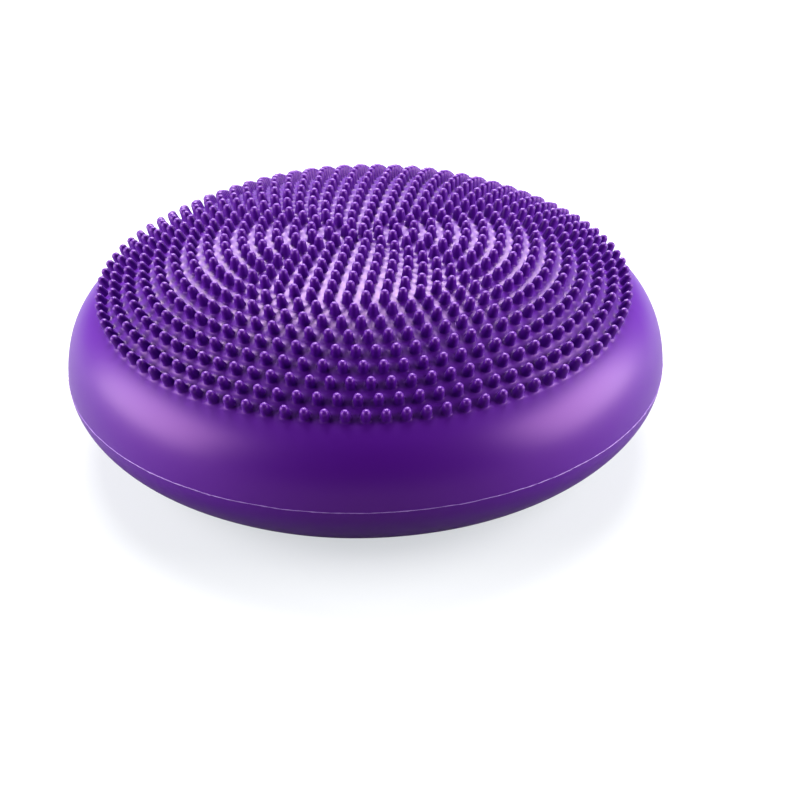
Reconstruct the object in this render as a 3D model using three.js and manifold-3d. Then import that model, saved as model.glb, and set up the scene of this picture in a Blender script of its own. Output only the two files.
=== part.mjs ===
// A round wobble cushion: an air-filled PVC bladder, moulded as two halves that are
// welded together round the rim, with a needle valve in the wall of the lower half.
// Millimetres, +Z up. The origin is on the floor, under the middle of the cushion.

import * as THREE from 'three';
import { mergeVertices } from 'three/addons/utils/BufferGeometryUtils.js';
import Module from 'manifold-3d';

const wasm = await Module();
wasm.setup();

// Driving dimensions of the blown-up cushion.
const RADIUS = 165; // at the welded rim
const RIM_HEIGHT = 39; // middle of the weld, above the floor
const FOOT_RADIUS = 113; // flat patch that rests on the floor
const FIELD_RADIUS = 142.3; // outermost ring of nubs
const FIELD_HEIGHT = 79.5; // skin under that ring
const APEX_HEIGHT = 111.7; // skin at the middle of the top
const FIELD_SLOPE = 0.67; // fall of the skin at the edge of the nubs, per mm outwards
const CROWN_REACH = 70; // how far the level middle of the top carries outwards
const FIELD_REACH = 50; // how far the slope at the edge of the nubs carries inwards
const SHOULDER_REACH = 12; // start of the shoulder: this far outwards,
const SHOULDER_FALL = 5.5; // with this fall
const UPPER_WALL_REACH = 22; // upright stretch above the weld
const LOWER_WALL_REACH = 16; // upright stretch below the weld
const FOOT_REACH = 29; // how far the level foot carries outwards
const WALL = 3.4; // PVC skin
const NUB_HEIGHT = 7;
const NUB_RADIUS = 3;

// Weld band between the two halves, and the clearance between touching pieces.
const WELD_HALF_HEIGHT = 0.9;
const WELD_PROUD = 0.8;
const WELD_EDGE = 0.6;
const GAP = 0.3;

// Needle valve, measured along its own axis: 0 is the skin, and it runs inwards.
const VALVE_PLACE = 0.4; // along the lower wall, from the rim (0) to the foot (1)
const COLLAR_RADIUS = 10;
const COLLAR_FACE = -1.2;
const COLLAR_FLANGE_RADIUS = 12;
const COLLAR_FLANGE_TOP = -6.1;
const COLLAR_END = -7.8;
const BOSS_RADIUS = 15;
const BOSS_TOP = -3.4;
const BOSS_END = COLLAR_FLANGE_TOP + GAP;
const HEAD_RADIUS = 7;
const HEAD_FACE = -1.4;
const HEAD_UNDER = -2.5;
const STEM_RADIUS = 4;
const LIP_RADIUS = 5.6;
const LIP_TOP = COLLAR_END - GAP;
const LIP_FULL_END = -9.6;
const CORE_NOSE_RADIUS = 3.8;
const CORE_END = -11.4;
const NEEDLE_RADIUS = 0.9;
const NEEDLE_MOUTH_RADIUS = 1.9;
const NEEDLE_MOUTH_END = -2.3;
const NEEDLE_END = -9.8;

// Fineness of the turned surfaces.
const SIDES = 48;
const SMALL_SIDES = 20;
const DOME_STEPS = 7;
const RIM_STEPS = 6;
const LOWER_STEPS = 7;
const DOME_INSIDE_END = 0.94; // where the raised inside of the top gives way to the shoulder
const SHOULDER_START = 0.15; // outside, past the step down from the nub tips
const SHOULDER_INSIDE_START = 0.12;
const SHOULDER_END = 0.92; // short of the upright lip
const LOWER_START = 0.05; // past the upright lip
const LOWER_INSIDE_START = 0.06;

const UP = new THREE.Vector3(0, 1, 0);
const point = (radius, height) => new THREE.Vector2(radius, height);

// The outline of the skin, as three curves that meet smoothly: over the nub field,
// round the shoulder to the rim, and from the rim down under to the foot.
const domeCurve = new THREE.CubicBezierCurve(
  point(0, APEX_HEIGHT),
  point(CROWN_REACH, APEX_HEIGHT),
  point(FIELD_RADIUS - FIELD_REACH, FIELD_HEIGHT + FIELD_REACH * FIELD_SLOPE),
  point(FIELD_RADIUS, FIELD_HEIGHT),
);
const shoulderCurve = new THREE.CubicBezierCurve(
  point(FIELD_RADIUS, FIELD_HEIGHT),
  point(FIELD_RADIUS + SHOULDER_REACH, FIELD_HEIGHT - SHOULDER_FALL),
  point(RADIUS, RIM_HEIGHT + UPPER_WALL_REACH),
  point(RADIUS, RIM_HEIGHT),
);
const lowerCurve = new THREE.CubicBezierCurve(
  point(RADIUS, RIM_HEIGHT),
  point(RADIUS, RIM_HEIGHT - LOWER_WALL_REACH),
  point(FOOT_RADIUS + FOOT_REACH, 0),
  point(FOOT_RADIUS, 0),
);

// The outward normal of a curve that runs from the top, round the rim, to the foot.
function outwardNormal(curve, t) {
  const tangent = curve.getTangent(t);
  return new THREE.Vector2(-tangent.y, tangent.x);
}

// Points along a curve, each moved outwards by offset, for t from start to end.
function offsetPoints(curve, offset, steps, start = 0, end = 1) {
  const points = [];
  for (let i = 0; i <= steps; i++) {
    const t = THREE.MathUtils.lerp(start, end, i / steps);
    points.push(curve.getPoint(t).addScaledVector(outwardNormal(curve, t), offset));
  }
  return points;
}

// Turns a profile of (radius, height) points about the local Y axis.
function turned(profile, sides) {
  const geometry = new THREE.LatheGeometry(profile, sides);
  geometry.deleteAttribute('normal');
  geometry.deleteAttribute('uv');
  return mergeVertices(geometry, 1e-4);
}

// Turns a profile about the cushion's vertical axis.
function turnedUpright(profile) {
  return turned(profile, SIDES).rotateX(Math.PI / 2);
}

// The valve stands square on the lower wall, at the back of the cushion.
const valveSpot = lowerCurve.getPoint(VALVE_PLACE);
const valveNormal = outwardNormal(lowerCurve, VALVE_PLACE);
const valvePosition = new THREE.Vector3(0, valveSpot.x, valveSpot.y);
const valveAxis = new THREE.Vector3(0, valveNormal.x, valveNormal.y);
const valveTurn = new THREE.Quaternion().setFromUnitVectors(UP, valveAxis);

// Moves a geometry turned about local Y onto the valve's axis.
function ontoValve(geometry) {
  const { x, y, z } = valvePosition;
  return geometry.applyQuaternion(valveTurn).translate(x, y, z);
}

function toSolid(geometry) {
  return new wasm.Manifold(new wasm.Mesh({
    numProp: 3,
    vertProperties: new Float32Array(geometry.attributes.position.array),
    triVerts: new Uint32Array(geometry.index.array),
  }));
}

function toGeometry(solid) {
  const { vertProperties, triVerts } = solid.getMesh();
  const geometry = new THREE.BufferGeometry();
  geometry.setAttribute('position', new THREE.BufferAttribute(vertProperties, 3));
  geometry.setIndex(new THREE.BufferAttribute(triVerts, 1));
  return geometry;
}

// Upper half: an open bowl, mouth down. Its top follows the tips of the nubs, which
// stand on the skin inside FIELD_RADIUS, and steps down to the skin outside them.
function upperShell() {
  const lip = RIM_HEIGHT + WELD_HALF_HEIGHT + GAP;
  const fieldEdge = point(FIELD_RADIUS + NUB_RADIUS, FIELD_HEIGHT - NUB_RADIUS * FIELD_SLOPE);
  return turnedUpright([
    ...offsetPoints(domeCurve, NUB_HEIGHT - WALL, DOME_STEPS, 0, DOME_INSIDE_END),
    ...offsetPoints(shoulderCurve, -WALL, RIM_STEPS, SHOULDER_INSIDE_START, SHOULDER_END),
    point(RADIUS - WALL, lip),
    point(RADIUS, lip),
    ...offsetPoints(shoulderCurve, 0, RIM_STEPS, SHOULDER_START, SHOULDER_END).reverse(),
    fieldEdge,
    ...offsetPoints(domeCurve, NUB_HEIGHT, DOME_STEPS).reverse(),
  ]);
}

// Lower half: an open bowl, mouth up, with a boss and a bore for the valve collar.
function lowerShell() {
  const lip = RIM_HEIGHT - WELD_HALF_HEIGHT - GAP;
  const bowl = turnedUpright([
    point(0, 0),
    ...offsetPoints(lowerCurve, 0, LOWER_STEPS, LOWER_START).reverse(),
    point(RADIUS, lip),
    point(RADIUS - WALL, lip),
    ...offsetPoints(lowerCurve, -WALL, LOWER_STEPS, LOWER_INSIDE_START),
    point(0, WALL),
  ]);
  const boss = ontoValve(turned([
    point(0, BOSS_END),
    point(BOSS_RADIUS, BOSS_END),
    point(BOSS_RADIUS, BOSS_TOP),
    point(0, BOSS_TOP),
  ], SMALL_SIDES));
  const bore = ontoValve(turned([
    point(0, COLLAR_END - WALL),
    point(COLLAR_RADIUS + GAP, COLLAR_END - WALL),
    point(COLLAR_RADIUS + GAP, WALL),
    point(0, WALL),
  ], SMALL_SIDES));
  return toGeometry(toSolid(bowl).add(toSolid(boss)).subtract(toSolid(bore)));
}

// The fused band between the lips of the two halves, with its slightly proud bead.
function rimWeld() {
  const low = RIM_HEIGHT - WELD_HALF_HEIGHT;
  const high = RIM_HEIGHT + WELD_HALF_HEIGHT;
  const bead = RADIUS + WELD_PROUD;
  const inside = RADIUS - WALL;
  return turnedUpright([
    point(inside, low),
    point(bead - WELD_EDGE, low),
    point(bead, low + WELD_EDGE),
    point(bead, high - WELD_EDGE),
    point(bead - WELD_EDGE, high),
    point(inside, high),
    point(inside, low),
  ]);
}

// Hard collar set in the lower wall: a sleeve with a flange on the air side and a
// counterbore outside for the head of the valve core.
function valveCollar() {
  const hole = STEM_RADIUS + GAP;
  const counterbore = HEAD_RADIUS + GAP;
  const counterboreFloor = HEAD_UNDER - GAP;
  return turned([
    point(hole, COLLAR_END),
    point(COLLAR_FLANGE_RADIUS, COLLAR_END),
    point(COLLAR_FLANGE_RADIUS, COLLAR_FLANGE_TOP),
    point(COLLAR_RADIUS, COLLAR_FLANGE_TOP),
    point(COLLAR_RADIUS, COLLAR_FACE),
    point(counterbore, COLLAR_FACE),
    point(counterbore, counterboreFloor),
    point(hole, counterboreFloor),
    point(hole, COLLAR_END),
  ], SMALL_SIDES);
}

// Rubber core: a head outside, a lip inside, and a blind channel for the pump needle
// that ends short of the tip, where the rubber closes by itself.
function valveCore() {
  return turned([
    point(0, CORE_END),
    point(CORE_NOSE_RADIUS, CORE_END),
    point(LIP_RADIUS, LIP_FULL_END),
    point(LIP_RADIUS, LIP_TOP),
    point(STEM_RADIUS, LIP_TOP),
    point(STEM_RADIUS, HEAD_UNDER),
    point(HEAD_RADIUS, HEAD_UNDER),
    point(HEAD_RADIUS, HEAD_FACE),
    point(NEEDLE_MOUTH_RADIUS, HEAD_FACE),
    point(NEEDLE_RADIUS, NEEDLE_MOUTH_END),
    point(NEEDLE_RADIUS, NEEDLE_END),
    point(0, NEEDLE_END),
  ], SMALL_SIDES);
}

function piece(name, geometry, color, roughness) {
  const material = new THREE.MeshStandardMaterial({ color, roughness, metalness: 0 });
  const mesh = new THREE.Mesh(geometry, material);
  mesh.name = name;
  return mesh;
}

const cushion = new THREE.Group();
cushion.name = 'wobble_cushion';

const valve = new THREE.Group();
valve.name = 'needle_valve';
valve.position.copy(valvePosition);
valve.quaternion.copy(valveTurn);
valve.add(
  piece('valve_collar', valveCollar(), 0x43217a, 0.45),
  piece('valve_core', valveCore(), 0x1d1c1f, 0.7),
);

cushion.add(
  piece('upper_shell', upperShell(), 0x5a2a9a, 0.35),
  piece('lower_shell', lowerShell(), 0x5a2a9a, 0.35),
  piece('rim_weld', rimWeld(), 0x7c50b4, 0.4),
  valve,
);

export default cushion;
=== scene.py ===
import math

import bpy
import numpy as np
from mathutils import Matrix, Vector


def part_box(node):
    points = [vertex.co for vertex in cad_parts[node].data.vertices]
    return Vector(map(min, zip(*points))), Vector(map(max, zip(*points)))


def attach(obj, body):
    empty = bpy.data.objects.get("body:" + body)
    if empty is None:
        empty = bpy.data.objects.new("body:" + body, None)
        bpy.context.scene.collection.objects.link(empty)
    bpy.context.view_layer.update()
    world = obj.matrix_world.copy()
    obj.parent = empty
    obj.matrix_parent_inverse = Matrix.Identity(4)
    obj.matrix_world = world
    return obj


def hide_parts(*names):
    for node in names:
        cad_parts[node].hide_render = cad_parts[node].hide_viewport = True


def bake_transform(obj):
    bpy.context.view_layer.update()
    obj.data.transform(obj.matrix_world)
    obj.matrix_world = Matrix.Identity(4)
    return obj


# A round wobble cushion: an air-filled PVC bladder in two halves, welded round the rim, with
# finger-like nubs over the top, low bumps underneath and a needle valve low in the back wall.
# Metres, +Z up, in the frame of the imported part.

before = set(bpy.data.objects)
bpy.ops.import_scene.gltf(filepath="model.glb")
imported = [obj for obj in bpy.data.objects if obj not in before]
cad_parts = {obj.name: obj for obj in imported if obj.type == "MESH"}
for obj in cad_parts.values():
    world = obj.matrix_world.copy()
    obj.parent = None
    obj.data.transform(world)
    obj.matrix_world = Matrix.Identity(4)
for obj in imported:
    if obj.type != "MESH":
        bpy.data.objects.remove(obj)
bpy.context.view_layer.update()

MM = 0.001
TINY = 1e-9

# Sizes that the frame gives.
weld_low, weld_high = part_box("rim_weld")
upper_low, upper_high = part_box("upper_shell")
RADIUS = upper_high.x
RIM_HEIGHT = (weld_low.z + weld_high.z) / 2
NUB_HEIGHT = 7 * MM
APEX_HEIGHT = upper_high.z - NUB_HEIGHT

# The rest of the outline, as the part has it.
FIELD_RADIUS = 142.3 * MM
FIELD_HEIGHT = 79.5 * MM
FIELD_SLOPE = 0.67
FOOT_RADIUS = 113 * MM
CROWN_REACH = 70 * MM
FIELD_REACH = 50 * MM
SHOULDER_REACH = 12 * MM
SHOULDER_FALL = 5.5 * MM
UPPER_WALL_REACH = 22 * MM
LOWER_WALL_REACH = 16 * MM
FOOT_REACH = 29 * MM
WALL = 3.4 * MM

OUTLINE_SOFTENING = 2.2 * MM

# Nubs: rings at an even spacing along the skin, all counted from one angle (from the front).
NUB_RINGS = 16
INNER_NUB_RINGS = 8
NUBS_IN_FIRST_RING = 7
NUB_STEP_INNER = 6  # more nubs in each ring than in the one inside it
NUB_STEP_OUTER = 5
NUB_START = math.radians(169.57)
NUB_FOOT_RADIUS = 3.35 * MM
NUB_WAIST_RADIUS = 2.75 * MM
NUB_TIP_RADIUS = 2.3 * MM
NUB_FLANK_HEIGHT = 4.9 * MM
NUB_SPREAD = 0.012  # unevenness of height, as a share, and of lean, in radians

# Bumps under the foot.
BUMP_HEIGHT = 1.2 * MM
BUMP_RADIUS = 4.4 * MM
BUMP_RINGS = 8
BUMP_PITCH = 13 * MM
BUMP_STEP = 6

# Weld: a flush band with a ragged ridge.
WELD_HALF_HEIGHT = (weld_high.z - weld_low.z) / 2
WELD_SIDES = 1440
RIDGE_PROUD = 0.28 * MM
RIDGE_HALF_HEIGHT = 0.2 * MM
RIDGE_WANDER = 0.12 * MM
NICKS = 16
NICK_PROUD = 0.3 * MM
NICK_ANGLE = 0.004

# Valve. Its heights are along its own axis, with 0 on the skin and negative inwards.
VALVE_PLACE = 0.4  # along the lower wall, from the rim (0) to the foot (1)
BORE_RADIUS = 10.2 * MM
COLLAR_RADIUS = 10 * MM
COLLAR_TOP = -1.2 * MM
COLLAR_BOTTOM = -7.8 * MM
FLANGE_RADIUS = 12 * MM
FLANGE_TOP = -6.1 * MM
CUP_RADIUS = 7.3 * MM
CUP_FLOOR = -2.8 * MM
THROAT_RADIUS = 4.3 * MM
PLUG_HEAD_RADIUS = 7 * MM
PLUG_TOP = -1.4 * MM
PLUG_HEAD_UNDERSIDE = -2.5 * MM
PLUG_NECK_RADIUS = 4 * MM
PLUG_BARB_RADIUS = 5.6 * MM
PLUG_BARB_TOP = -8.1 * MM
PLUG_BARB_EDGE = -9.6 * MM
PLUG_NOSE_RADIUS = 3.8 * MM
PLUG_BOTTOM = -11.4 * MM
NEEDLE_RADIUS = 0.9 * MM
NEEDLE_MOUTH_RADIUS = 1.9 * MM
NEEDLE_MOUTH_FLOOR = -2.3 * MM
NEEDLE_HOLE_FLOOR = -9.8 * MM

# The patch of skin that each nub or bump stands on has four sides of this many faces.
QUARTER = 4
HALF_SIDE = QUARTER // 2
CELL_FILL = 0.94  # of the spacing between the rings


def bezier(start, near_start, near_end, end, steps=400):
    t = np.linspace(0, 1, steps)[:, None]
    p = [np.array(point, float) for point in (start, near_start, near_end, end)]
    return (1 - t) ** 3 * p[0] + 3 * t * (1 - t) ** 2 * p[1] + 3 * t**2 * (1 - t) * p[2] + t**3 * p[3]


def smoothstep(x):
    x = np.clip(x, 0, 1)
    return x * x * (3 - 2 * x)


class Outline:
    """A profile that runs out from the vertical axis, at an even spacing, with its outward normals."""

    SPACING = 0.25 * MM
    KERNEL_REACH = 3  # widths of softening
    END_REACH = 4

    def __init__(self, points, soften=0.0):
        run = np.concatenate([[0], np.cumsum(np.hypot(*np.diff(points, axis=0).T))])
        self.length = run[-1]
        self.s = np.linspace(0, self.length, int(self.length / self.SPACING))
        self.r = np.interp(self.s, run, points[:, 0])
        self.z = np.interp(self.s, run, points[:, 1])
        if soften:
            self.soften(soften)
        along_r = np.gradient(self.r, self.s)
        along_z = np.gradient(self.z, self.s)
        size = np.hypot(along_r, along_z)
        self.nr = -along_z / size
        self.nz = along_r / size

    def soften(self, width):
        """Rounds the joins of the curves off, and leaves the two ends where they are."""
        reach = int(self.KERNEL_REACH * width / self.SPACING)
        kernel = np.exp(-0.5 * (np.arange(-reach, reach + 1) * self.SPACING / width) ** 2)
        kernel /= kernel.sum()
        from_end = np.minimum(self.s, self.length - self.s)
        fade = smoothstep(from_end / (self.END_REACH * width))
        for values, mirror in ((self.r, -1), (self.z, 1)):
            before = mirror * values[reach:0:-1]
            after = 2 * values[-1] - values[-2 : -reach - 2 : -1]
            smooth = np.convolve(np.concatenate([before, values, after]), kernel, mode="valid")
            values += fade * (smooth - values)

    def at(self, s):
        return tuple(np.interp(s, self.s, v) for v in (self.r, self.z, self.nr, self.nz))

    def at_radius(self, radius):
        """Height and normal where the profile still runs outwards."""
        rising = slice(0, int(np.argmax(self.r)) + 1)
        return tuple(np.interp(radius, self.r[rising], v[rising]) for v in (self.z, self.nr, self.nz))


class Waves:
    """A very slight unevenness, as inflated PVC has."""

    COUNT = 9
    SHORTEST = 45 * MM
    LONGEST = 110 * MM

    def __init__(self, seed, size):
        rng = np.random.default_rng(seed)
        angle = rng.uniform(0, 2 * np.pi, self.COUNT)
        length = rng.uniform(self.SHORTEST, self.LONGEST, self.COUNT)
        self.kx = 2 * np.pi * np.cos(angle) / length
        self.ky = 2 * np.pi * np.sin(angle) / length
        self.phase = rng.uniform(0, 2 * np.pi, self.COUNT)
        self.size = size / math.sqrt(self.COUNT)

    def at(self, x, y):
        total = 0
        for kx, ky, phase in zip(self.kx, self.ky, self.phase):
            total = total + np.sin(kx * x + ky * y + phase)
        return self.size * total


class Skin:
    """One half of the bladder as a closed mesh, built as a dome. `facing` -1 turns it upside down."""

    EDGE_FADE = 25 * MM  # the unevenness dies away towards the weld

    def __init__(self, outline, facing, waves):
        self.outline = outline
        self.facing = facing
        self.waves = waves
        self.points = []
        self.count = 0
        self.faces = []

    def add(self, points):
        points = np.atleast_2d(points)
        first = self.count
        self.points.append(points)
        self.count += len(points)
        return np.arange(first, self.count)

    def place(self, s, theta, offset=0.0):
        """Points on the skin, a distance s along the outline, at an angle theta from the front."""
        r, z, nr, nz = self.outline.at(s)
        x = r * np.sin(theta)
        y = -r * np.cos(theta)
        lift = offset + self.waves.at(x, y) * smoothstep((self.outline.length - s) / self.EDGE_FADE)
        r = r + nr * lift
        return np.stack(np.broadcast_arrays(r * np.sin(theta), -r * np.cos(theta), z + nz * lift), -1)

    def place_plan(self, x, y):
        """Points on the skin above plan points."""
        z, _, nz = self.outline.at_radius(np.hypot(x, y))
        return np.stack([x, y, z + self.waves.at(x, y) * nz], -1)

    def ring(self, s, angles, offset=0.0):
        return self.add(self.place(s, angles, offset))

    def band(self, inner, outer):
        """Faces between two rings with the same number of points."""
        for i in range(len(inner)):
            j = (i + 1) % len(inner)
            self.faces.append((inner[i], outer[i], outer[j], inner[j]))

    def zip_rings(self, inner, inner_angles, outer, outer_angles):
        """Triangles between two rings with different numbers of points."""
        i = j = 0
        turn = 2 * np.pi
        while i < len(inner) or j < len(outer):
            next_inner = inner_angles[(i + 1) % len(inner)] + turn * ((i + 1) // len(inner))
            next_outer = outer_angles[(j + 1) % len(outer)] + turn * ((j + 1) // len(outer))
            a = inner[i % len(inner)]
            b = outer[j % len(outer)]
            if j >= len(outer) or (i < len(inner) and next_inner < next_outer):
                self.faces.append((a, b, inner[(i + 1) % len(inner)]))
                i += 1
            else:
                self.faces.append((a, b, outer[(j + 1) % len(outer)]))
                j += 1

    def stud(self, edge, x, y, profile, lean):
        """A nub or bump at a plan point, joined to the edge loop of its own patch of skin."""
        sides = len(edge)
        theta = math.atan2(x, -y)
        radius = math.hypot(x, y)
        _, nr, nz = self.outline.at_radius(radius)
        outward = np.array([math.sin(theta), -math.cos(theta)])
        around = np.array([math.cos(theta), math.sin(theta)])
        axis = np.array([*(outward * nr), nz]) + np.array([*lean, 0])
        axis /= np.linalg.norm(axis)
        turn = 2 * np.pi * np.arange(sides) / sides
        plan = np.outer(np.cos(turn) * nz, outward) + np.outer(np.sin(turn), around)
        last = edge
        for across, height in profile[:-1]:
            base = self.place_plan(x + across * plan[:, 0], y + across * plan[:, 1])
            loop = self.add(base + axis * height)
            self.close_in(last, loop)
            last = loop
        tip = self.add(self.place_plan(np.array([x]), np.array([y])) + axis * profile[-1][1])[0]
        for i in range(sides):
            self.faces.append((last[i], last[(i + 1) % sides], tip))

    def close_in(self, outer, inner):
        """Faces between a loop and the next one up or further in."""
        for i in range(len(outer)):
            j = (i + 1) % len(outer)
            self.faces.append((outer[i], outer[j], inner[j], inner[i]))

    def studded_field(self, counts, pitch, start, profile, rng, spread):
        """A stud in the middle and rings of them round it. Returns the field's outer edge and its angles."""
        first = QUARTER * counts[0]
        angles = start + (np.arange(first) - HALF_SIDE) * 2 * np.pi / first
        edge = self.ring(pitch * CELL_FILL / 2, angles)
        self.stud(edge, 0.0, -TINY, varied(profile, rng, spread), rng.normal(0, spread, 2))
        for number, count in enumerate(counts, start=1):
            around = QUARTER * count
            new_angles = start + (np.arange(around) - HALF_SIDE) * 2 * np.pi / around
            near = pitch * (number - CELL_FILL / 2)
            far = pitch * (number + CELL_FILL / 2)
            inner = self.ring(near, new_angles)
            outer = self.ring(far, new_angles)
            self.zip_rings(edge, angles, inner, new_angles)
            between = np.linspace(near, far, QUARTER + 1)[1:-1]
            sides = [self.ring(s, new_angles[::QUARTER]) for s in between]
            for j in range(count):
                loop = self.cell_edge(j, inner, outer, sides)
                theta = start + 2 * np.pi * j / count
                radius = float(self.outline.at(pitch * number)[0])
                x = radius * math.sin(theta)
                y = -radius * math.cos(theta)
                self.stud(loop, x, y, varied(profile, rng, spread), rng.normal(0, spread, 2))
            edge, angles = outer, new_angles
        return edge, angles

    def cell_edge(self, j, inner, outer, sides):
        """The loop of points round the cell of stud j, from the middle of its outer side."""
        around = len(inner)
        low = QUARTER * j
        right = [side[(j + 1) % len(side)] for side in sides]
        left = [side[j] for side in sides]
        out = [outer[(low + i) % around] for i in range(QUARTER + 1)]
        into = [inner[(low + i) % around] for i in range(QUARTER + 1)]
        return [*out[HALF_SIDE:], *right[::-1], *into[::-1], *left, *out[:HALF_SIDE]]

    def finish(self, edge, angles, from_s, rows, inner_rows):
        """Carries the skin from the edge of the studs to the weld, over the lip and back inside."""
        length = self.outline.length
        last = edge
        for s in np.linspace(from_s, length, rows + 1)[1:]:
            row = self.ring(s, angles)
            self.band(last, row)
            last = row
        for s in np.linspace(length, 0, inner_rows + 1)[:-1]:
            row = self.ring(s, angles, -WALL)
            self.band(last, row)
            last = row
        middle = self.add(self.place(0.0, 0.0, -WALL))[0]
        for i in range(len(last)):
            self.faces.append((last[i], middle, last[(i + 1) % len(last)]))

    def to_object(self, name):
        """The finished mesh, with nothing below the floor."""
        points = np.concatenate(self.points)
        points[:, 2] = np.maximum(points[:, 2] * self.facing, 0)
        faces = self.faces if self.facing > 0 else [face[::-1] for face in self.faces]
        return mesh_object(name, points, faces)


def varied(profile, rng, spread):
    """A stud profile, very slightly taller or shorter than the drawn one."""
    scale = 1 + rng.normal(0, spread)
    return [(across, height * scale) for across, height in profile]


def mesh_object(name, points, faces, sharp=50):
    mesh = bpy.data.meshes.new(name)
    mesh.from_pydata([tuple(map(float, p)) for p in points], [], [tuple(map(int, f)) for f in faces])
    mesh.validate()
    mesh.shade_smooth()
    mesh.set_sharp_from_angle(angle=math.radians(sharp))
    obj = bpy.data.objects.new(name, mesh)
    bpy.context.scene.collection.objects.link(obj)
    return obj


# ---------------------------------------------------------------- the two halves

def nub_profile():
    """(radius, height) up a nub: a short flare at the foot, a nearly straight flank and a round tip."""
    flank = bezier(
        (NUB_FOOT_RADIUS, 0),
        (NUB_WAIST_RADIUS, 0.1 * MM),
        (NUB_WAIST_RADIUS, 2.2 * MM),
        (NUB_TIP_RADIUS, NUB_FLANK_HEIGHT),
        steps=8,
    )
    turn = np.linspace(0, np.pi / 2, 5)[1:]
    rise = NUB_FLANK_HEIGHT + (NUB_HEIGHT - NUB_FLANK_HEIGHT) * np.sin(turn)
    tip = np.stack([NUB_TIP_RADIUS * np.cos(turn), rise], -1)
    return [tuple(p) for p in flank] + [tuple(p) for p in tip]


def bump_profile():
    """(radius, height) up a low round bump."""
    steps = 7
    turn = np.linspace(0, np.pi, steps)
    across = np.linspace(BUMP_RADIUS, 0, steps)
    return list(zip(across, BUMP_HEIGHT * (1 - np.cos(turn)) / 2))


def nub_counts():
    """How many nubs each ring has, from the inside out."""
    counts = [NUBS_IN_FIRST_RING]
    for ring in range(1, NUB_RINGS):
        counts.append(counts[-1] + (NUB_STEP_INNER if ring < INNER_NUB_RINGS else NUB_STEP_OUTER))
    return counts


def upper_outline():
    dome = bezier(
        (0, APEX_HEIGHT),
        (CROWN_REACH, APEX_HEIGHT),
        (FIELD_RADIUS - FIELD_REACH, FIELD_HEIGHT + FIELD_REACH * FIELD_SLOPE),
        (FIELD_RADIUS, FIELD_HEIGHT),
    )
    shoulder = bezier(
        (FIELD_RADIUS, FIELD_HEIGHT),
        (FIELD_RADIUS + SHOULDER_REACH, FIELD_HEIGHT - SHOULDER_FALL),
        (RADIUS, RIM_HEIGHT + UPPER_WALL_REACH),
        (RADIUS, RIM_HEIGHT),
    )
    bottom = RIM_HEIGHT + WELD_HALF_HEIGHT
    shoulder = shoulder[shoulder[:, 1] >= bottom]
    return Outline(np.concatenate([dome, shoulder[1:], [(RADIUS, bottom)]]), soften=OUTLINE_SOFTENING)


def lower_curve():
    return bezier(
        (FOOT_RADIUS, 0),
        (FOOT_RADIUS + FOOT_REACH, 0),
        (RADIUS, RIM_HEIGHT - LOWER_WALL_REACH),
        (RADIUS, RIM_HEIGHT),
    )


def lower_outline():
    """Upside down: its heights are negative. The foot stands on the tips of its bumps."""
    top = RIM_HEIGHT - WELD_HALF_HEIGHT
    wall = lower_curve()
    wall = wall[wall[:, 1] <= top]
    wall[:, 1] += BUMP_HEIGHT * smoothstep(1 - wall[:, 1] / top)
    points = np.concatenate([[(0, BUMP_HEIGHT)], wall, [(RADIUS, top)]])
    points[:, 1] *= -1
    return Outline(points, soften=OUTLINE_SOFTENING)


def upper_skin():
    outline = upper_outline()
    field = float(np.interp(FIELD_RADIUS, outline.r, outline.s))
    pitch = field / NUB_RINGS
    skin = Skin(outline, facing=1, waves=Waves(seed=3, size=0.12 * MM))
    rng = np.random.default_rng(11)
    edge, angles = skin.studded_field(nub_counts(), pitch, NUB_START, nub_profile(), rng, NUB_SPREAD)
    skin.finish(edge, angles, pitch * (NUB_RINGS + CELL_FILL / 2), rows=28, inner_rows=24)
    return skin.to_object("upper_skin")


def lower_skin():
    outline = lower_outline()
    skin = Skin(outline, facing=-1, waves=Waves(seed=5, size=0.05 * MM))
    rng = np.random.default_rng(12)
    counts = [BUMP_STEP * ring for ring in range(1, BUMP_RINGS + 1)]
    edge, angles = skin.studded_field(counts, BUMP_PITCH, 0.0, bump_profile(), rng, spread=0.0)
    skin.finish(edge, angles, BUMP_PITCH * (BUMP_RINGS + CELL_FILL / 2), rows=34, inner_rows=24)
    return skin.to_object("lower_skin")


# ---------------------------------------------------------------- weld and valve

def turned(name, profile, sides, matrix):
    """A closed profile of (radius, height) points turned about local Z."""
    profile = np.array(profile, float)
    turn = 2 * np.pi * np.arange(sides) / sides
    points = []
    rows = []
    for radius, height in profile:
        first = len(points)
        if radius < TINY:
            points.append((0, 0, height))
            rows.append([first] * sides)
        else:
            points.extend(zip(radius * np.cos(turn), radius * np.sin(turn), [height] * sides))
            rows.append(list(range(first, first + sides)))
    pairs = list(zip(rows, rows[1:]))
    if profile[0][0] > TINY:
        pairs.append((rows[-1], rows[0]))
    faces = []
    for a, b in pairs:
        for i in range(sides):
            j = (i + 1) % sides
            corners = list(dict.fromkeys((a[i], a[j], b[j], b[i])))
            if len(corners) > 2:
                faces.append(corners)
    obj = mesh_object(name, points, faces, sharp=40)
    obj.data.transform(matrix)
    return obj


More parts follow.
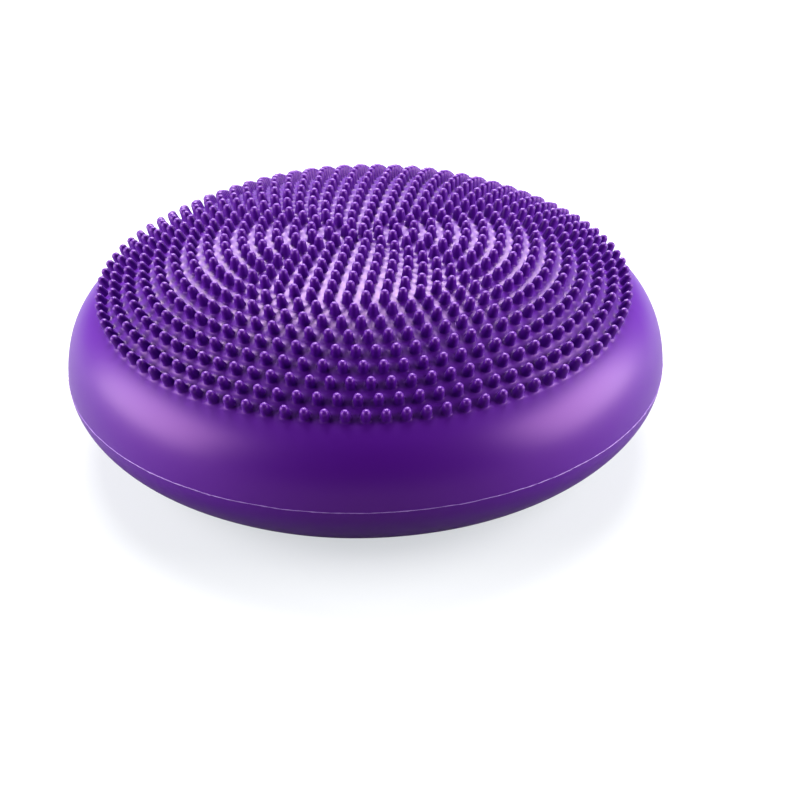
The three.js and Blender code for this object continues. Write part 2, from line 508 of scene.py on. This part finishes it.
def rim_weld():
    """The flush band of the weld, with a thin and slightly ragged ridge along its middle."""
    theta = 2 * np.pi * np.arange(WELD_SIDES) / WELD_SIDES
    rng = np.random.default_rng(21)
    wander = RIDGE_WANDER * ragged(rng, theta, cycles=(7, 60), terms=10)
    proud = 0.62 + 0.38 * ragged(rng, theta, cycles=(40, 300), terms=24)
    proud = RIDGE_PROUD * np.clip(proud, 0.12, 1.2)
    for nick in rng.uniform(0, 2 * np.pi, NICKS):
        near = np.abs((theta - nick + np.pi) % (2 * np.pi) - np.pi)
        proud += NICK_PROUD * np.exp(-((near / NICK_ANGLE) ** 2))
    half = 1 + 0.35 * ragged(rng, theta, cycles=(30, 200), terms=16)
    half = RIDGE_HALF_HEIGHT * np.clip(half, 0.4, 1.8)
    low = RIM_HEIGHT - WELD_HALF_HEIGHT
    high = RIM_HEIGHT + WELD_HALF_HEIGHT
    middle = RIM_HEIGHT + wander
    inside = RADIUS - WALL
    brow_proud = 0.85 * proud
    brow_height = 0.55 * half
    runs = [
        (inside, low),
        (RADIUS, low),
        (RADIUS, middle - half),
        (RADIUS + brow_proud, middle - brow_height),
        (RADIUS + proud, middle),
        (RADIUS + brow_proud, middle + brow_height),
        (RADIUS, middle + half),
        (RADIUS, high),
        (inside, high),
    ]
    points = []
    for radius, height in runs:
        radius = np.broadcast_to(radius, theta.shape)
        height = np.broadcast_to(height, theta.shape)
        points.append(np.stack([radius * np.sin(theta), -radius * np.cos(theta), height], -1))
    faces = []
    ridge = []
    for row in range(len(runs)):
        here = row * WELD_SIDES
        after = (row + 1) % len(runs) * WELD_SIDES
        for i in range(WELD_SIDES):
            j = (i + 1) % WELD_SIDES
            faces.append((here + i, here + j, after + j, after + i))
            ridge.append(1 if 2 <= row <= 5 else 0)
    obj = mesh_object("weld_seam", np.concatenate(points), faces, sharp=60)
    obj.data.polygons.foreach_set("material_index", ridge)
    return obj


def ragged(rng, theta, cycles, terms):
    """A sum of waves round the rim, of about unit height."""
    total = np.zeros_like(theta)
    for _ in range(terms):
        total += np.sin(int(rng.integers(*cycles)) * theta + rng.uniform(0, 2 * np.pi))
    return total / math.sqrt(terms / 2) * 0.6


def valve_frame():
    """Places local Z along the valve's axis, pointing out of the skin, with 0 on the skin."""
    curve = lower_curve()[::-1]
    at = round(VALVE_PLACE * (len(curve) - 1))
    spot = curve[at]
    ahead = curve[at + 1] - curve[at - 1]
    ahead /= np.linalg.norm(ahead)
    axis = Vector((0, -ahead[1], ahead[0]))
    turn = Vector((0, 0, 1)).rotation_difference(axis).to_matrix().to_4x4()
    return Matrix.Translation(Vector((0, spot[0], spot[1]))) @ turn


def rounded(profile, radius, steps=4):
    """Rounds the corners of an open profile, apart from its two ends."""
    out = [np.array(profile[0], float)]
    for before, corner, after in zip(profile, profile[1:], profile[2:]):
        before, corner, after = (np.array(p, float) for p in (before, corner, after))
        back = np.linalg.norm(before - corner)
        on = np.linalg.norm(after - corner)
        cut = min(radius, back / 2.1, on / 2.1)
        a = corner + (before - corner) / back * cut
        b = corner + (after - corner) / on * cut
        for t in np.linspace(0, 1, steps):
            out.append((1 - t) ** 2 * a + 2 * t * (1 - t) * corner + t**2 * b)
    out.append(np.array(profile[-1], float))
    return np.array(out)


def valve_collar(matrix):
    """A ring with a flange inside the bladder and a cup that the plug's head sits in."""
    profile = [
        (THROAT_RADIUS, COLLAR_BOTTOM),
        (FLANGE_RADIUS, COLLAR_BOTTOM),
        (FLANGE_RADIUS, FLANGE_TOP),
        (COLLAR_RADIUS, FLANGE_TOP),
        (COLLAR_RADIUS, COLLAR_TOP),
        (CUP_RADIUS, COLLAR_TOP),
        (CUP_RADIUS, CUP_FLOOR),
        (THROAT_RADIUS, CUP_FLOOR),
        (THROAT_RADIUS, COLLAR_BOTTOM),
    ]
    return turned("collar_ring", rounded(profile, 0.5 * MM)[:-1], 72, matrix)


def valve_core(matrix):
    """A rubber plug with a flat head, a barb inside and a blind hole for the needle."""
    profile = [
        (0, PLUG_BOTTOM),
        (PLUG_NOSE_RADIUS, PLUG_BOTTOM),
        (PLUG_BARB_RADIUS, PLUG_BARB_EDGE),
        (PLUG_BARB_RADIUS, PLUG_BARB_TOP),
        (PLUG_NECK_RADIUS, PLUG_BARB_TOP),
        (PLUG_NECK_RADIUS, PLUG_HEAD_UNDERSIDE),
        (PLUG_HEAD_RADIUS, PLUG_HEAD_UNDERSIDE),
        (PLUG_HEAD_RADIUS, PLUG_TOP),
        (NEEDLE_MOUTH_RADIUS, PLUG_TOP),
        (NEEDLE_RADIUS, NEEDLE_MOUTH_FLOOR),
        (NEEDLE_RADIUS, NEEDLE_HOLE_FLOOR),
        (0, NEEDLE_HOLE_FLOOR),
    ]
    return turned("valve_plug", rounded(profile, 0.4 * MM), 64, matrix)


def cut_bore(skin, matrix):
    """Cuts the hole for the valve collar through the lower wall."""
    ends = [(0, PLUG_BOTTOM), (BORE_RADIUS, PLUG_BOTTOM), (BORE_RADIUS, WALL), (0, WALL)]
    cutter = turned("bore_cutter", ends, 96, matrix)
    cut = skin.modifiers.new("bore", "BOOLEAN")
    cut.operation = "DIFFERENCE"
    cut.object = cutter
    cut.solver = "EXACT"
    bpy.context.view_layer.update()
    result = bpy.data.meshes.new_from_object(skin.evaluated_get(bpy.context.evaluated_depsgraph_get()))
    skin.modifiers.clear()
    skin.data = result
    skin.data.name = skin.name
    skin.data.set_sharp_from_angle(angle=math.radians(50))
    bpy.data.objects.remove(cutter)


# ---------------------------------------------------------------- materials

def principled(name, colour, roughness):
    material = bpy.data.materials.new(name)
    material.use_nodes = True
    shader = material.node_tree.nodes["Principled BSDF"]
    shader.inputs["Base Color"].default_value = (*colour, 1)
    shader.inputs["Roughness"].default_value = roughness
    return material, shader


def grain(material, shader, scale, strength):
    """A fine moulded grain."""
    nodes = material.node_tree.nodes
    links = material.node_tree.links
    place = nodes.new("ShaderNodeTexCoord")
    noise = nodes.new("ShaderNodeTexNoise")
    noise.inputs["Scale"].default_value = scale
    noise.inputs["Detail"].default_value = 3
    bump = nodes.new("ShaderNodeBump")
    bump.inputs["Strength"].default_value = strength
    bump.inputs["Distance"].default_value = 0.1 * MM
    links.new(place.outputs["Object"], noise.inputs["Vector"])
    links.new(noise.outputs["Fac"], bump.inputs["Height"])
    links.new(bump.outputs["Normal"], shader.inputs["Normal"])


def pvc():
    material, shader = principled("purple_pvc", (0.058, 0.0025, 0.185), 0.4)
    shader.inputs["IOR"].default_value = 1.5
    shader.inputs["Specular IOR Level"].default_value = 0.42
    shader.inputs["Specular Tint"].default_value = (1, 0.46, 1, 1)
    grain(material, shader, scale=900, strength=0.08)
    return material


def ridge_pvc():
    material, _ = principled("weld_flash", (0.3, 0.16, 0.5), 0.45)
    return material


def collar_pvc():
    material, shader = principled("collar_purple", (0.06, 0.014, 0.2), 0.42)
    grain(material, shader, scale=700, strength=0.1)
    return material


def rubber():
    material, shader = principled("valve_rubber_black", (0.013, 0.012, 0.014), 0.6)
    grain(material, shader, scale=1200, strength=0.2)
    return material


# ---------------------------------------------------------------- the room

def stage_floor():
    """A pale matt floor, lifted to white for the camera alone."""
    size = 12
    corners = [(-size, -size, 0), (size, -size, 0), (size, size, 0), (-size, size, 0)]
    floor = mesh_object("floor", corners, [(0, 1, 2, 3)])
    material, shader = principled("floor_white", (0.28, 0.28, 0.28), 0.9)
    shader.inputs["Emission Color"].default_value = (0.93, 0.96, 1, 1)
    path = material.node_tree.nodes.new("ShaderNodeLightPath")
    lift = material.node_tree.nodes.new("ShaderNodeMapRange")
    lift.inputs["To Max"].default_value = 0.62
    material.node_tree.links.new(path.outputs["Is Camera Ray"], lift.inputs["Value"])
    material.node_tree.links.new(lift.outputs["Result"], shader.inputs["Emission Strength"])
    floor.data.materials.append(material)


def softbox(name, place, size, watts):
    """A rectangular lamp aimed at the middle of the cushion."""
    middle = Vector((0, 0, 0.06))
    data = bpy.data.lights.new(name, "AREA")
    data.shape = "RECTANGLE"
    data.size = size[0]
    data.size_y = size[1]
    data.energy = watts
    lamp = bpy.data.objects.new(name, data)
    lamp.location = place
    lamp.rotation_euler = (middle - Vector(place)).to_track_quat("-Z", "Y").to_euler()
    bpy.context.scene.collection.objects.link(lamp)


def lights():
    """One big box high behind the cushion, and a low one at each side."""
    softbox("overhead", place=(0, 1.1, 1.25), size=(1.6, 0.8), watts=92)
    softbox("left_box", place=(-1.3, -0.08, 0.55), size=(1.3, 0.9), watts=40)
    softbox("right_box", place=(1.3, -0.03, 0.55), size=(1.3, 0.9), watts=43)


def surroundings():
    """A dim room that is lighter behind the cushion than in front of it, and white where it is seen."""
    world = bpy.data.worlds.new("studio")
    world.use_nodes = True
    nodes = world.node_tree.nodes
    links = world.node_tree.links
    seen = nodes["Background"]
    seen.inputs["Color"].default_value = (1, 1, 1, 1)
    place = nodes.new("ShaderNodeTexCoord")
    split = nodes.new("ShaderNodeSeparateXYZ")
    fade = nodes.new("ShaderNodeMapRange")
    fade.inputs["From Min"].default_value = -0.45
    fade.inputs["From Max"].default_value = 0.5
    fade.inputs["To Min"].default_value = 0.01
    fade.inputs["To Max"].default_value = 0.22
    light = nodes.new("ShaderNodeBackground")
    path = nodes.new("ShaderNodeLightPath")
    mix = nodes.new("ShaderNodeMixShader")
    links.new(place.outputs["Generated"], split.inputs["Vector"])
    links.new(split.outputs["Y"], fade.inputs["Value"])
    links.new(fade.outputs["Result"], light.inputs["Strength"])
    links.new(path.outputs["Is Camera Ray"], mix.inputs["Fac"])
    links.new(light.outputs["Background"], mix.inputs[1])
    links.new(seen.outputs["Background"], mix.inputs[2])
    links.new(mix.outputs["Shader"], nodes["World Output"].inputs["Surface"])
    bpy.context.scene.world = world


def camera():
    """Looks at the edge plane of the nub field from the front, then pans, tilts and rolls a little."""
    distance = 1.1713
    elevation = math.radians(26.9)
    pan = math.radians(0.89)
    tilt = math.radians(-3.04)
    roll = math.radians(-0.88)
    up = Vector((0, 0, 1))
    away = Vector((0, -math.cos(elevation), math.sin(elevation)))
    place = Vector((0, 0, FIELD_HEIGHT)) + away * distance
    ahead = -away
    right = ahead.cross(up).normalized()
    above = right.cross(ahead)
    ahead = ahead * math.cos(pan) * math.cos(tilt) + right * math.sin(pan) * math.cos(tilt)
    ahead = (ahead + above * math.sin(tilt)).normalized()
    right = ahead.cross(up).normalized()
    above = right.cross(ahead)
    right, above = (
        right * math.cos(roll) + above * math.sin(roll),
        above * math.cos(roll) - right * math.sin(roll),
    )
    data = bpy.data.cameras.new("photo_camera")
    data.lens = 95.7
    data.sensor_width = 36
    data.clip_start = 0.01
    view = bpy.data.objects.new("photo_camera", data)
    view.matrix_world = Matrix.Translation(place) @ Matrix((right, above, -ahead)).transposed().to_4x4()
    bpy.context.scene.collection.objects.link(view)
    bpy.context.scene.camera = view


# ---------------------------------------------------------------- putting it together

def build():
    """Makes the five pieces, hides the part that each one stands in for, and ties the weld to the rim."""
    purple = pvc()
    upper = upper_skin()
    upper.data.materials.append(purple)
    lower = lower_skin()
    matrix = valve_frame()
    cut_bore(lower, matrix)
    lower.data.materials.append(purple)
    seam = rim_weld()
    seam.data.materials.append(purple)
    seam.data.materials.append(ridge_pvc())
    collar = valve_collar(matrix)
    collar.data.materials.append(collar_pvc())
    core = valve_core(matrix)
    core.data.materials.append(rubber())

    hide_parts("upper_shell")
    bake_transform(upper)
    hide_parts("lower_shell")
    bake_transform(lower)
    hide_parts("rim_weld")
    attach(seam, "rim")
    for part, node, slot in ((collar, "valve_collar", "collar"), (core, "valve_core", "valve_rubber")):
        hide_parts(node)
        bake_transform(part)


build()
stage_floor()
lights()
surroundings()
camera()
bpy.context.scene.view_settings.view_transform = "Standard"
